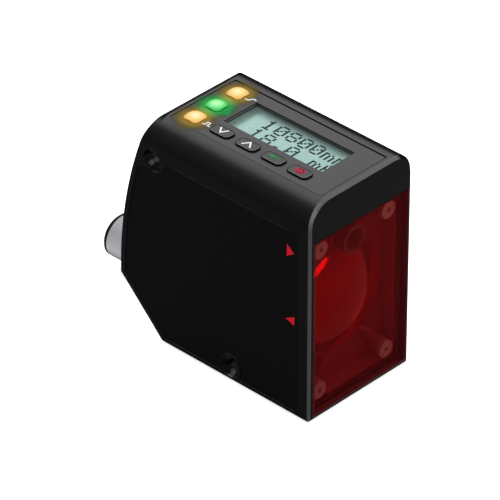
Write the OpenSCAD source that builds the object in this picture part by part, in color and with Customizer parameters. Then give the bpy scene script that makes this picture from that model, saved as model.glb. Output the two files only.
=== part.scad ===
// Compact laser distance sensor with a display on top and a swivel connector at the rear.
// X runs across the width, Y from the window to the rear and Z up.
// The origin is the middle of the underside of the whole outline, and all sizes are in millimetres.

/* [Body] */
// Width of the housing
body_w = 36; // [35:0.5:44]
// Height of the housing
body_h = 63.4; // [62:0.1:76]
// Length from the window to the foot of the rear face
body_l = 64.3; // [63:0.1:76]
// Amount by which the curved rear face leans in at the top
rear_lean = 10.3; // [6:0.1:11]
// Height and length of the slanted face that carries the connector
slant = 14.7; // [14:0.1:17]
// Radius of the two long top edges
shoulder_r = 6.8; // [3:0.1:7.4]
// Radius of the top rear edge
rear_edge_r = 1.2; // [0.4:0.1:2]
// Chamfer along the two bottom edges
foot_edge = 0.5; // [0.1:0.1:0.8]
// Bevel round the front face
bevel = 0.83; // [0.3:0.01:1]
// Thickness of the side walls
side_wall = 1.6; // [1.3:0.1:2]
// Thickness of the floor, the rear wall and the slanted wall
wall = 2; // [1.5:0.1:2.2]
// Thickness of the roof round the display
roof = 3; // [2.6:0.1:3.4]
// Thickness of the front wall above the window
front_wall = 3; // [2.4:0.1:3.2]

/* [Window] */
// Distance from the side of the housing to the edge of the window pane
pane_rim = 1.1; // [1:0.1:1.4]
// Height of the lower edge of the window pane
pane_foot = 1.4; // [1.1:0.1:1.7]
// Height of the closed front above the window pane
brow_h = 11.3; // [9:0.1:12]
// Thickness of the window pane
pane_t = 1.9; // [1.4:0.1:2.4]
// Width of the ledge above the opening behind the window pane
pane_ledge = 1.2; // [0.8:0.1:1.3]
// Thickness of the window seal
seal_t = 0.8; // [0.5:0.1:1]
// Gap between the front screws and the window pane
pane_gap = 0.3; // [0.1:0.1:0.5]

/* [Optics] */
// Depth of the optics tub in front of its base plate
tub_depth = 4.3; // [3.8:0.1:6]
// Wall of the optics tub
tub_wall = 1; // [0.8:0.1:1.1]
// Thickness of the base plate of the optics tub
tub_plate = 2.5; // [2.2:0.1:3.5]
// Radius of the receiving lens
lens_r = 14.9; // [13.5:0.1:15]
// Gap between the receiving lens and the laser tube
lens_gap = 0.1; // [0.1:0.1:0.6]
// Thickness of the rim of the receiving lens
lens_rim = 1.6; // [1.2:0.1:1.9]
// Height of the dome of the receiving lens
lens_dome = 4; // [2:0.1:4.8]
// Radius of the light path behind the receiving lens
light_r = 12.4; // [11:0.1:12.6]
// Length of the receiver cone
cone_l = 19.5; // [16:0.1:20]
// Radius of the bore in the neck of the receiver cone
neck_r = 3.6; // [3.4:0.1:4]
// Length of the neck of the receiver cone
neck_l = 3; // [2.6:0.1:3.4]
// Wall of the receiver cone
cone_wall = 1; // [0.7:0.1:1.2]
// Thickness of the receiver filter
filter_t = 1; // [0.7:0.1:1.2]
// Radius of the laser tube
laser_r = 3.9; // [3.6:0.1:4]
// Distance from the top of the window pane down to the laser tube
laser_drop = 7.7; // [7.2:0.1:7.7]
// Radius of the bore of the laser tube
laser_bore = 2.7; // [2.4:0.1:2.9]
// Length of the laser tube
laser_l = 27; // [25:0.1:28]
// Distance from the side of the housing to a front screw
screw_inset = 6; // [5.8:0.1:6.4]
// Height of the two lower front screws
screw_foot = 6; // [5.9:0.1:6.4]
// Distance from the top of the window pane down to the upper front screws
screw_drop = 4.9; // [4.8:0.1:5.2]
// Radius of the heads of the front screws
screw_head_r = 2.4; // [2:0.1:2.5]
// Height of the heads of the front screws
screw_head_t = 1.2; // [0.8:0.1:1.4]
// Radius of the shanks of the front screws
screw_r = 1.25; // [1:0.05:1.4]
// Length of the shanks of the front screws
screw_l = 13; // [11:0.5:14]

/* [Boards] */
// Thickness of the circuit boards
board_t = 1.2; // [1:0.1:1.6]
// Gap between the neck of the receiver cone and the optics board
detector_gap = 2; // [1.6:0.1:2.4]
// Distance between the optics board and the main board
standoff_l = 8.8; // [7:0.1:9.4]
// Radius of the board posts
post_r = 1.7; // [1.5:0.1:1.8]
// Distance from the side wall to a board post
post_inset = 3.8; // [3.4:0.1:4]
// Distance from the middle of the receiving lens down to the lower board posts
post_down = 8.6; // [8.5:0.1:11.6]
// Distance from the middle of the receiving lens up to the upper board posts
post_up = 13; // [12:0.1:13.4]

/* [Display] */
// Distance from the near side of the housing to the display panel
panel_near = 5.35; // [5.1:0.05:6]
// Distance from the far side of the housing to the display panel
panel_far = 7.75; // [7.2:0.05:7.9]
// Distance from the front face to the display panel
panel_front = 1.65; // [1.5:0.05:2]
// Distance from the rear edge of the flat top to the display panel
panel_rear = 2.2; // [1.8:0.05:2.3]
// Thickness of the display panel
panel_t = 1.5; // [1.4:0.1:1.7]
// Depth of the face of the display panel below the top of the housing
panel_sink = 0.15; // [0.05:0.05:0.3]
// Thickness of the seal under the display panel
panel_seal = 0.25; // [0.15:0.05:0.3]
// Width of the ledge under the display panel
panel_ledge = 1.2; // [1:0.1:1.3]
// Width of the display opening
view_w = 11.6; // [9:0.1:11.8]
// Distance from the far edge of the panel to the display opening
view_far = 3.55; // [3.4:0.05:4]
// Distance from the front edge of the panel to the display opening
view_front = 7.05; // [6.8:0.05:8]
// Distance from the rear edge of the panel to the display opening
view_rear = 10.6; // [10.4:0.1:12]
// Depth from the face of the panel to the display cover
view_depth = 1.25; // [1:0.05:1.35]
// Thickness of the clear display cover
cover_t = 0.8; // [0.6:0.1:0.9]
// Width of the seat round the display cover
cover_seat = 0.8; // [0.6:0.1:0.9]
// Thickness of the liquid crystal glass
crystal_t = 1; // [0.7:0.1:1.2]
// Distance from the display panel to the display board
board_drop = 3.55; // [3.4:0.05:3.9]

/* [Keys] */
// Distance from the near edge of the panel to the middle of the keys
key_near = 3.75; // [3.7:0.05:3.9]
// Width of a key
key_w = 3.4; // [3:0.1:3.6]
// Length of a key
key_l = 6.2; // [5:0.1:6.6]
// Distance by which the row of keys is shorter than the display opening at each end
key_inset = 0.3; // [0:0.1:1]
// Cut corners of a key
key_corner = 0.8; // [0.4:0.1:1.2]
// Height of a key above the panel
key_proud = 0.5; // [0.3:0.05:0.8]
// Travel of a key
key_travel = 0.5; // [0.3:0.05:0.5]
// Gap round a key
key_gap = 0.2; // [0.15:0.05:0.25]
// Flange round the foot of a key
key_flange = 0.5; // [0.4:0.05:0.6]

/* [Lamps] */
// Distance between the indicator lamps
lamp_pitch = 7.4; // [7:0.1:7.5]
// Distance from the rear edge of the panel to the indicator lamps
lamp_rear = 4.65; // [4.4:0.05:4.8]
// Width of an indicator lamp
lamp_w = 4.7; // [4:0.1:4.8]
// Radius of the corners of an indicator lamp
lamp_corner = 1.2; // [0.8:0.1:1.8]
// Height of an indicator lamp above the panel
lamp_proud = 0.8; // [0.4:0.1:1.1]

/* [Mounting] */
// Radius of the two mounting holes
hole_r = 2.2; // [1.8:0.05:2.4]
// Wall round a mounting hole inside the housing
hole_wall = 1.4; // [1.2:0.1:1.6]
// Radius of the counterbores of the mounting holes
sink_r = 3.2; // [2.8:0.1:3.4]
// Depth of the counterbores of the mounting holes
sink_depth = 1.5; // [1:0.1:2]
// Distance from the front face to the lower mounting hole
low_hole_y = 26.7; // [25:0.1:28]
// Height of the lower mounting hole
low_hole_z = 4.1; // [3.9:0.1:4.6]
// Distance from the rear edge of the flat top to the upper mounting hole
high_hole_y = 1.5; // [1:0.1:1.8]
// Distance from the top down to the upper mounting hole
high_hole_z = 10.5; // [10.4:0.1:11.4]

/* [Label] */
// Depth of the recess for a side label
label_depth = 0.4; // [0.25:0.05:0.5]
// Thickness of a side label
label_t = 0.3; // [0.15:0.05:0.3]
// Distance from the front face to a side label
label_front = 3.9; // [3.5:0.1:4.4]
// Distance from the top down to a side label
label_drop = 9.8; // [9.6:0.1:10.4]
// Distance from a side label to the edges behind and below it
label_margin = 1.5; // [1:0.1:2]
// Radius of the front corners of a side label
label_r = 1.5; // [0.8:0.1:2.5]
// Length of the slanted end of a side label below the upper mounting hole
label_run = 7.5; // [6:0.1:8]

/* [Connector] */
// Radius of the swivel disc
disc_r = 8.7; // [8.2:0.1:8.9]
// Height of the swivel disc above the slanted face
disc_proud = 0.6; // [0.4:0.1:1]
// Depth of the swivel disc below the slanted face
disc_sink = 1.5; // [1.2:0.1:1.6]
// Radius of the swivel hub
hub_r = 6.2; // [5.9:0.1:6.4]
// Thickness of the housing under the swivel disc
hub_seat = 1.8; // [1.5:0.1:2]
// Radius of the bore through the hub and the elbow
duct_r = 4.5; // [4:0.1:4.6]
// Thickness of the spring clip on the hub
clip_t = 1; // [0.8:0.1:1.2]
// Radius of the elbow
elbow_r = 6.6; // [6.4:0.1:6.9]
// Height of the middle of the plug barrel
barrel_z = 8.4; // [8:0.1:8.6]
// Distance from the rear of the housing to the collar of the plug barrel
elbow_reach = 5.2; // [5:0.1:7]
// Radius over the thread of the plug barrel
barrel_r = 5.9; // [5.8:0.05:6]
// Length of the collar of the plug barrel
collar_l = 1.5; // [1:0.1:2]
// Length of the threaded part of the plug barrel
barrel_l = 12.3; // [10:0.1:14]
// Radius of the bore of the plug barrel
socket_r = 4.35; // [4.2:0.05:4.5]
// Depth of the bore of the plug barrel
socket_depth = 7.8; // [6:0.1:8.5]
// Radius of a contact pin
pin_r = 0.5; // [0.4:0.05:0.55]
// Radius of the circle of contact pins
pin_circle = 2.4; // [2.2:0.1:2.6]
// Radius of an inner wire
wire_r = 0.55; // [0.4:0.05:0.6]

/* [Fits] */
// Gap round pieces that are set into the housing
fit_gap = 0.15; // [0.1:0.01:0.18]
// Gap round the turning hub and disc
turn_gap = 0.08; // [0.05:0.01:0.1]
// Gap round pieces that are bonded or seated inside
seat_gap = 0.05; // [0.02:0.01:0.08]

/* [Hidden] */
$fn = 96;

// A little extra length for cutters
over = 1;

// Outline of the housing
top_l = body_l - rear_lean;
rear_r = (pow(body_h - slant, 2) + pow(rear_lean, 2)) / (2 * rear_lean);
rear_y = body_l - rear_r;
foot_l = body_l - slant;
cav_x = body_w / 2 - side_wall;
cav_top = body_h - roof;

// Window and optics
pane_w = body_w - 2 * pane_rim;
pane_top = body_h - brow_h;
open_top = pane_top - pane_ledge;
tub_x = cav_x - fit_gap;
tub_z = [wall + fit_gap, open_top - fit_gap];
tub_y = pane_t + seal_t;
plate_y = tub_y + tub_depth;
plate_end = plate_y + tub_plate;
laser_z = pane_top - laser_drop;
lens_z = laser_z - laser_r - lens_gap - lens_r;
screw_x = body_w / 2 - screw_inset;
screw_z = [screw_foot, pane_top - screw_drop];
head_y = pane_t + pane_gap;
seat_y = head_y + screw_head_t;
boss_rim = 0.2;
boss_r = screw_head_r + boss_rim;
boss_end = seat_y + screw_l + 1.5;
web_t = 1.2;
web_h = 3;
cone_end = plate_end + cone_l;
neck_end = cone_end + neck_l;
filter_y = cone_end + 0.3;
laser_end = head_y + laser_l;
laser_collar = 1.2;
laser_lens_y = head_y + 7.8;
laser_lens_t = 2.4;
laser_ring_t = 1.6;
diode_y = laser_end - 2.4;
diode_flange_r = laser_bore + 0.4;

// Boards, their posts and the leads that pass through them
optics_y = neck_end + detector_gap;
optics_end = optics_y + board_t;
main_y = optics_end + standoff_l;
main_end = main_y + board_t;
post_x = cav_x - post_inset;
post_z = [lens_z - post_down, lens_z + post_up];
stud_r = 1;
board_rim = 2.4;
board_x = post_x + board_rim;
header_w = 12;
header_z = [post_z[0] + 1, post_z[0] + 5];
chip_w = 10;
chip_t = 1.4;
coil_w = 4;
coil_x = 7;
coil_t = 2.2;
ribbon_x = [-6, 4];
ribbon_t = 0.25;
lead_r = 0.25;
lead_end = optics_end + 0.8;
detector_leads = 1.6;
diode_leads = 1;

// Display panel and what it carries
panel_x = [-body_w / 2 + panel_near, body_w / 2 - panel_far];
panel_y = [panel_front, top_l - panel_rear];
face_z = body_h - panel_sink;
under_z = face_z - panel_t;
ledge_z = under_z - panel_seal;
view_x = [panel_x[1] - view_far - view_w, panel_x[1] - view_far];
view_y = [panel_y[0] + view_front, panel_y[1] - view_rear];
cover_z = face_z - view_depth;
board_z = under_z - board_drop;
crystal_z = cover_z - cover_t - 0.1;
backlight_z = crystal_z - crystal_t;
key_count = 4;
key_x = panel_x[0] + key_near;
key_pitch = (view_y[1] - view_y[0] - key_l - 2 * key_inset) / (key_count - 1);
key_y = [for (i = [0 : key_count - 1]) view_y[0] + key_inset + key_l / 2 + i * key_pitch];
flange_gap = 0.15;
flange_t = 0.6;
flange_z = under_z - flange_gap - flange_t;
plunger_gap = 0.05;
plunger_r = 0.9;
switch_w = 3;
switch_l = 3.6;
switch_h = 1.1;
stem_l = 0.55;
stem_r = 1.2;
plunger_z = flange_z - stem_l - key_travel - plunger_gap;
lamp_x = (panel_x[0] + panel_x[1]) / 2;
lamp_y = panel_y[1] - lamp_rear;
lamp_flange = 0.3;
lamp_flange_t = 0.6;
board_edge = panel_ledge + 0.3;
peg_r = (lamp_pitch - lamp_w) / 2 - lamp_flange - 0.15;
peg_head = 0.4;
peg_inset = panel_ledge + 1.8;
peg_places = [
    [panel_x[0] + peg_inset, panel_y[0] + peg_inset], [panel_x[1] - peg_inset, panel_y[0] + peg_inset],
    [lamp_x - lamp_pitch / 2, lamp_y], [lamp_x + lamp_pitch / 2, lamp_y]
];

// Mounting holes and the labels that are cut round them
holes = [[low_hole_y, low_hole_z], [top_l - high_hole_y, body_h - high_hole_z]];
label_ring = 0.5;
label_fall = 0.42;
label_gap = 0.1;

// Swivel connector
disc_y = body_l - slant / 2;
disc_z = slant / 2;
bay_r = disc_r + 0.2;
disc_floor = disc_sink + 0.1;
hub_floor = disc_floor + hub_seat;
clip_z = hub_floor + turn_gap;
hub_end = clip_z + clip_t + 0.8;
groove_r = hub_r - 0.8;
clip_r = hub_r + 1.4;
ring_r = 0.35;
ring_seat = hub_r + 1.25;
ring_z = turn_gap + ring_r - disc_floor;
elbow_end = body_l + elbow_reach;
thread_y = elbow_end + collar_l;
total_l = thread_y + barrel_l;
spigot_l = 4.5;
spigot_y = elbow_end - spigot_l;
spigot_r = duct_r + 0.5;
insert_r = duct_r - 0.6;
insert_end = total_l - socket_depth;
barrel_edge = 0.6;
pin_end = total_l - 1.4 - pin_r;
pin_places = concat([[0, 0]], [for (i = [0 : 3]) pin_circle * [cos(45 + 90 * i), sin(45 + 90 * i)]]);

// Wires along the swivel axis and their plug, which lies where that axis meets the main board
bundle = 0.6;
plug_t = 3.6;
plug_w = 8;
plug_y = [main_end, main_end + plug_t];
axis_z = disc_z + disc_y - plug_y[1];
plug_foot = 3.2;
plug_head = 4.4;
plug_z = [axis_z - plug_foot, axis_z + plug_head];
plug_margin = 1.8;
wire_dip = 1.2;
wire_reach = (disc_y - plug_y[1]) * sqrt(2) + wire_dip;

// Moves a piece from the front face as zero to the middle of the whole length
module place() {
    translate([0, -total_l / 2, 0]) children();
}

// Extrudes an outline in Y and Z along X, about the middle plane
module along_x(width) {
    rotate([90, 0, 90]) linear_extrude(width, center = true) children();
}

// Extrudes an outline in X and Z along Y
module along_y(from, to) {
    translate([0, to, 0]) rotate([90, 0, 0]) linear_extrude(to - from) children();
}

// Round bar along Y, or a cone where a second radius is given
module bar_y(r, from, to, r_end = undef) {
    translate([0, from, 0]) rotate([-90, 0, 0])
        cylinder(h = to - from, r1 = r, r2 = is_undef(r_end) ? r : r_end);
}

// Round bar along X, about the middle plane
module bar_x(r, width) {
    rotate([0, 90, 0]) cylinder(r = r, h = width, center = true);
}

// Straight bar with square corners between two limits on each axis
module block(x, y, z) {
    translate([x[0], y[0], z[0]]) cube([x[1] - x[0], y[1] - y[0], z[1] - z[0]]);
}

// Rectangle with rounded corners between two limits on each axis
module round_rect(x, y, r) {
    translate([x[0] + r, y[0]]) square([x[1] - x[0] - 2 * r, y[1] - y[0]]);
    translate([x[0], y[0] + r]) square([x[1] - x[0], y[1] - y[0] - 2 * r]);
    for (cx = [x[0] + r, x[1] - r], cy = [y[0] + r, y[1] - r]) translate([cx, cy]) circle(r);
}

// Puts a piece at each of the four front screws
module at_screws() {
    for (x = [-screw_x, screw_x], z = screw_z) translate([x, 0, z]) children();
}

// Puts a piece at each of the four board posts
module at_posts() {
    for (x = [-post_x, post_x], z = post_z) translate([x, 0, z]) children();
}

// Puts a piece in the frame of the slanted face, with Z out of the face
module at_slant() {
    translate([0, disc_y, disc_z]) rotate([-135, 0, 0]) children();
}

// Puts a piece on the axis of the plug barrel
module at_barrel() {
    translate([0, 0, barrel_z]) children();
}

// Side outline of the housing in Y and Z, with a round top rear edge
module side_outline() {
    lift = body_h - rear_edge_r - slant;
    cy = rear_y + sqrt(pow(rear_r - rear_edge_r, 2) - pow(lift, 2));
    lean = atan2(lift, cy - rear_y);
    difference() {
        intersection() {
            polygon([[0, 0], [foot_l, 0], [body_l, slant], [body_l, body_h], [0, body_h]]);
            translate([rear_y, slant]) circle(rear_r, $fn = 360);
        }
        polygon([
            [cy, body_h - rear_edge_r],
            [cy + 3 * rear_edge_r * cos(lean), body_h + (3 * sin(lean) - 1) * rear_edge_r],
            [cy, body_h + 3 * rear_edge_r]
        ]);
    }
    translate([cy, body_h - rear_edge_r]) circle(rear_edge_r);
}

// Front outline in X and Z with round shoulders, drawn smaller all round by an inset
module front_outline(inset, foot = 0) {
    x = body_w / 2 - inset;
    sx = body_w / 2 - shoulder_r;
    sz = body_h - shoulder_r;
    polygon([[-x, inset + foot], [-x + foot, inset], [x - foot, inset], [x, inset + foot], [x, sz], [-x, sz]]);
    translate([-sx, inset + foot]) square([2 * sx, body_h - 2 * inset - foot]);
    for (cx = [-sx, sx]) translate([cx, sz]) circle(shoulder_r - inset);
}

// Front slice of the housing, bevelled all round
module front_slice() {
    x = body_w / 2;
    sx = x - shoulder_r;
    sz = body_h - shoulder_r;
    intersection() {
        linear_extrude(sz) polygon([[-x + bevel, 0], [x - bevel, 0], [x, bevel], [-x, bevel]]);
        along_x(body_w) polygon([[0, bevel], [bevel, 0], [bevel, sz], [0, sz]]);
        along_y(-over, bevel + over) front_outline(0, foot_edge);
    }
    along_x(2 * sx) polygon([[0, sz], [bevel, sz], [bevel, body_h], [0, body_h - bevel]]);
    for (cx = [-sx, sx]) translate([cx, 0, sz]) bar_y(shoulder_r - bevel, 0, bevel, shoulder_r);
}

// Whole outer form of the housing
module outer_form() {
    intersection() {
        along_x(body_w + over) side_outline();
        union() {
            front_slice();
            along_y(bevel, body_l + over) front_outline(0, foot_edge);
        }
    }
}

// Hollow of the housing behind its front wall
module cavity() {
    lead = foot_l - wall * sqrt(2);
    intersection() {
        along_x(body_w) intersection() {
            polygon([
                [front_wall, wall], [lead + wall, wall],
                [lead + cav_top, cav_top], [front_wall, cav_top]
            ]);
            translate([rear_y, slant]) circle(rear_r - wall, $fn = 360);
        }
        along_y(0, body_l) front_outline(side_wall);
    }
}

// Outline of a side label in Y and Z, smaller all round by a gap
module label_outline(gap) {
    y0 = label_front + gap;
    z0 = label_margin + gap;
    z1 = body_h - label_drop - gap;
    r = label_r;
    bend = top_l - label_run;
    rear = foot_l - (label_margin + gap) * sqrt(2);
    difference() {
        intersection() {
            union() {
                translate([y0 + r, z0]) square([body_l, z1 - z0]);
                translate([y0, z0 + r]) square([body_l, z1 - z0 - 2 * r]);
                for (z = [z0 + r, z1 - r]) translate([y0 + r, z]) circle(r);
            }
            polygon([[0, 0], [rear, 0], [rear + body_h, body_h], [0, body_h]]);
            translate([rear_y, slant]) circle(rear_r - label_margin - gap, $fn = 360);
            polygon([[0, 0], [body_l, 0], [body_l, z1 - (body_l - bend) * label_fall], [bend, z1], [0, z1]]);
        }
        for (h = holes) translate(h) circle(sink_r + label_ring + gap);
    }
}

// Cast housing in one piece
module housing() {
    color("#161718") place() difference() {
        union() {
            difference() {
                outer_form();
                cavity();
            }
            intersection() {
                outer_form();
                union() {
                    for (h = holes) translate([0, h[0], h[1]]) hole_tube();
                    chassis_bosses();
                    at_slant() translate([0, 0, -hub_floor]) cylinder(r = bay_r + 1.2, h = hub_floor);
                }
            }
        }
        block([-pane_w / 2 - seat_gap, pane_w / 2 + seat_gap], [-over, pane_t],
            [pane_foot - seat_gap, pane_top + seat_gap]);
        block([-cav_x, cav_x], [-over, front_wall + over], [wall, open_top]);
        panel_pocket();
        for (s = [-1, 1]) translate([s * (body_w / 2 - label_depth / 2 + over / 2), 0, 0])
            along_x(label_depth + over) label_outline(0);
        for (h = holes) translate([0, h[0], h[1]]) hole_cut();
        at_screws() bar_y(screw_r, plate_end - over, seat_y + screw_l + over);
        at_slant() {
            translate([0, 0, -disc_floor]) cylinder(r = bay_r, h = disc_floor + over);
            translate([0, 0, -hub_floor - over]) cylinder(r = hub_r + turn_gap, h = hub_floor + over);
        }
    }
}

// Tube round a mounting hole, thicker under its counterbores
module hole_tube() {
    bar_x(hole_r + hole_wall, body_w);
    for (s = [-1, 1]) translate([s * (cav_x - 0.5), 0, 0]) bar_x(sink_r + hole_wall - 0.2, 2 * side_wall);
}

// Mounting hole with its counterbores
module hole_cut() {
    bar_x(hole_r, body_w + over);
    for (s = [-1, 1]) translate([s * (body_w / 2 + (over - sink_depth) / 2), 0, 0])
        bar_x(sink_r, sink_depth + over);
}

// Bosses inside the housing that take the front screws
module chassis_bosses() {
    at_screws() bar_y(boss_r, plate_end, boss_end);
    for (z = screw_z) difference() {
        block([-cav_x - 0.5, cav_x + 0.5], [plate_end, boss_end], [z - boss_r, z + boss_r]);
        block([-screw_x, screw_x], [plate_end - over, boss_end + over], [z - boss_r - over, z + boss_r + over]);
    }
}

// Pocket for the display panel and the opening under it
module panel_pocket() {
    inner_x = [panel_x[0] + panel_ledge, panel_x[1] - panel_ledge];
    inner_y = [panel_y[0] + panel_ledge, panel_y[1] - panel_ledge];
    translate([0, 0, ledge_z]) linear_extrude(roof)
        round_rect(panel_x + [-fit_gap, fit_gap], panel_y + [-fit_gap, fit_gap], 0.8);
    block(inner_x, inner_y, [cav_top - over, body_h]);
}

// Red window pane that closes the front
module front_window() {
    color([0.45, 0.05, 0.07, 0.6]) place() block([-pane_w / 2, pane_w / 2], [0, pane_t], [pane_foot, pane_top]);
}

// Dark seal between the pane and the optics tub
module window_seal() {
    color("#201414") place() difference() {
        block([-tub_x, tub_x], [pane_t, tub_y], tub_z);
        block([-tub_x + tub_wall, tub_x - tub_wall], [0, tub_y + over], tub_z + [tub_wall, -tub_wall]);
    }
}

// Web between the lens seat and the post of a front screw
module web(x, z) {
    run = norm([x, z - lens_z]);
    turn = atan2(z - lens_z, x);
    translate([0, plate_y, lens_z]) rotate([0, -turn, 0])
        block([lens_r, run], [-web_h, over], [-web_t / 2, web_t / 2]);
}

// Moulded tub that carries the lens, the laser tube and the boards
module optics_chassis() {
    color("#2b2b2d") place() difference() {
        union() {
            difference() {
                block([-tub_x, tub_x], [tub_y, plate_end], tub_z);
                block([-tub_x + tub_wall, tub_x - tub_wall], [0, plate_y], tub_z + [tub_wall, -tub_wall]);
            }
            at_screws() bar_y(boss_r, seat_y, plate_y + over);
            for (x = [-screw_x, screw_x]) web(x, screw_z[0]);
            translate([0, 0, laser_z]) bar_y(laser_r + laser_collar, plate_y - laser_collar, plate_end + 5);
            at_posts() bar_y(post_r, plate_end - over, optics_y);
        }
        translate([0, 0, lens_z]) {
            bar_y(light_r, plate_y - over, plate_end + over);
            bar_y(lens_r + seat_gap, tub_y, plate_y + lens_rim);
        }
        translate([0, 0, laser_z]) bar_y(laser_r + seat_gap, tub_y, plate_end + 6);
        at_screws() bar_y(screw_r + 0.1, tub_y, plate_end + over);
        at_posts() bar_y(stud_r, optics_y - 5, optics_y + over);
    }
}

// Four screws that hold the optics tub
module front_screws() {
    color("#8a8a8e") place() at_screws() difference() {
        union() {
            bar_y(screw_head_r, head_y, seat_y);
            bar_y(screw_r, seat_y - 0.2, seat_y + screw_l);
        }
        translate([0, head_y + screw_head_t / 2, 0]) rotate([90, 0, 0])
            cylinder(r = screw_r * 0.6, h = screw_head_t, $fn = 6);
    }
}

// Domed lens that gathers the returning light
module receiving_lens() {
    ball = (pow(lens_r, 2) + pow(lens_dome, 2)) / (2 * lens_dome);
    color([0.55, 0.05, 0.05, 0.8]) place() translate([0, 0, lens_z]) intersection() {
        bar_y(lens_r, plate_y - lens_dome - over, plate_y + lens_rim);
        translate([0, plate_y - lens_dome + ball, 0]) sphere(ball, $fn = 180);
    }
}

// Dark cone between the lens and the light detector
module receiver_cone() {
    color("#1c1c1e") place() translate([0, 0, lens_z]) difference() {
        union() {
            bar_y(light_r + cone_wall, plate_end, cone_end, neck_r + cone_wall);
            bar_y(neck_r + cone_wall, cone_end, neck_end);
        }
        bar_y(light_r, plate_end, cone_end, neck_r);
        bar_y(light_r, plate_end - over, plate_end);
        bar_y(neck_r, cone_end - seat_gap, neck_end + over);
    }
}

// Narrow filter in the neck of the cone
module receiver_filter() {
    color("#7a1512") place() translate([0, 0, lens_z]) bar_y(neck_r - seat_gap, filter_y, filter_y + filter_t);
}

// Three leads round an axis along Y
module leads(circle, from, to) {
    for (a = [90, 210, 330]) rotate([0, a, 0]) translate([circle, 0, 0]) bar_y(lead_r, from, to);
}

// Light detector in its metal can
module light_detector() {
    color("#b6b3a8") place() translate([0, 0, lens_z]) {
        bar_y(neck_r - 0.8, neck_end - 0.9, optics_y);
        bar_y(neck_r - 0.4, optics_y - 0.7, optics_y);
        leads(detector_leads, optics_y - 0.3, lead_end);
    }
}

// Metal tube of the laser beam
module laser_tube() {
    color("#77777b") place() translate([0, 0, laser_z]) difference() {
        bar_y(laser_r, head_y, laser_end);
        bar_y(laser_bore, head_y - over, laser_end + over);
        bar_y(laser_bore + 0.7, head_y - over, head_y + 0.7, laser_bore);
        bar_y(diode_flange_r, diode_y, laser_end + over);
    }
}

// Collimating lens of the laser beam
module laser_lens() {
    ball = 5;
    color([0.75, 0.8, 0.85, 0.8]) place() translate([0, laser_lens_y, laser_z]) intersection() {
        bar_y(laser_bore - seat_gap, 0, laser_lens_t);
        translate([0, ball, 0]) sphere(ball, $fn = 120);
    }
}

// Threaded ring that keeps the collimating lens
module laser_lens_ring() {
    color("#3a3a3c") place() translate([0, laser_lens_y + laser_lens_t, laser_z]) difference() {
        bar_y(laser_bore - seat_gap, 0, laser_ring_t);
        bar_y(laser_bore - 0.8, -over, laser_ring_t + over);
    }
}

// Laser diode in its can at the rear of the tube
module laser_diode() {
    color("#c9a54a") place() translate([0, 0, laser_z]) {
        bar_y(laser_bore - 0.9, diode_y - 2.4, diode_y + 0.2);
        bar_y(diode_flange_r - seat_gap, diode_y, diode_y + 1.3);
        leads(diode_leads, diode_y + 1, lead_end);
    }
}

// Upright board with holes for its screws and for the leads
module upright_board(from, z) {
    difference() {
        block([-board_x, board_x], [from, from + board_t], z);
        at_posts() bar_y(stud_r + 0.1, from - over, from + board_t + over);
    }
}

// Circuit board of the laser and the detector
module optics_board() {
    color("#1f5a34") place() difference() {
        upright_board(optics_y, [post_z[0] - 3, laser_z + 4]);
        translate([0, 0, lens_z]) leads(detector_leads, optics_y - over, optics_end + over);
        translate([0, 0, laser_z]) leads(diode_leads, optics_y - over, optics_end + over);
    }
}

// Plug connection between the two upright boards
module board_header() {
    color("#202022") place() block([-header_w / 2, header_w / 2], [optics_end, main_y], header_z);
}

// Main circuit board with its larger chips
module main_board() {
    color("#1f5a34") place() {
        upright_board(main_y, [plug_z[0] - plug_margin, laser_z + 3]);
        block([-chip_w / 2, chip_w / 2], [main_end - 0.2, main_end + chip_t], [post_z[1] - chip_w, post_z[1]]);
        block([coil_x, coil_x + coil_w], [main_end - 0.2, main_end + coil_t],
            [post_z[1] - chip_w / 2 - coil_w, post_z[1] - chip_w / 2]);
    }
}

// Four posts between the two upright boards
module board_standoffs() {
    color("#b9983f") place() at_posts() {
        difference() {
            translate([0, main_y, 0]) rotate([90, 0, 0]) cylinder(r = post_r + 0.5, h = main_y - optics_end, $fn = 6);
            bar_y(stud_r, main_y - 4, main_y + over);
        }
        bar_y(stud_r, optics_y - 4, optics_end + 0.2);
    }
}

// Four screws at the rear of the main board
module board_screws() {
    color("#8a8a8e") place() at_posts() {
        bar_y(post_r + 0.2, main_end, main_end + 1.1);
        bar_y(stud_r, main_y - 3, main_end + 0.2);
    }
}

// Panel on top with openings for the display, the keys and the lamps
module display_panel() {
    color("#5c5c5e") place() {
        difference() {
            translate([0, 0, under_z]) linear_extrude(panel_t) difference() {
                round_rect(panel_x, panel_y, 0.7);
                translate([view_x[0], view_y[0]]) square([view_x[1] - view_x[0], view_y[1] - view_y[0]]);
                for (y = key_y) translate([key_x, y]) key_outline(key_gap);
                for (i = [-1 : 1]) translate([lamp_x + i * lamp_pitch, lamp_y]) lamp_outline(0.1);
            }
            block(view_x + [-cover_seat - seat_gap, cover_seat + seat_gap],
                view_y + [-cover_seat - seat_gap, cover_seat + seat_gap], [under_z - over, cover_z]);
        }
        for (p = peg_places) translate(p) {
            translate([0, 0, board_z - board_t]) cylinder(r = peg_r, h = under_z - board_z + board_t + 0.2);
            translate([0, 0, board_z - board_t - peg_head]) cylinder(r = peg_r + 0.4, h = peg_head);
        }
    }
}

// Soft ring under the edge of the panel
module panel_seal_ring() {
    color("#101010") place() translate([0, 0, ledge_z]) linear_extrude(panel_seal) difference() {
        round_rect(panel_x, panel_y, 0.7);
        translate([panel_x[0] + panel_ledge, panel_y[0] + panel_ledge])
            square([panel_x[1] - panel_x[0] - 2 * panel_ledge, panel_y[1] - panel_y[0] - 2 * panel_ledge]);
    }
}

// Clear cover behind the display opening
module display_cover() {
    color([0.8, 0.85, 0.85, 0.4]) place()
        block(view_x + [-cover_seat, cover_seat], view_y + [-cover_seat, cover_seat], [cover_z - cover_t, cover_z]);
}

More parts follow.
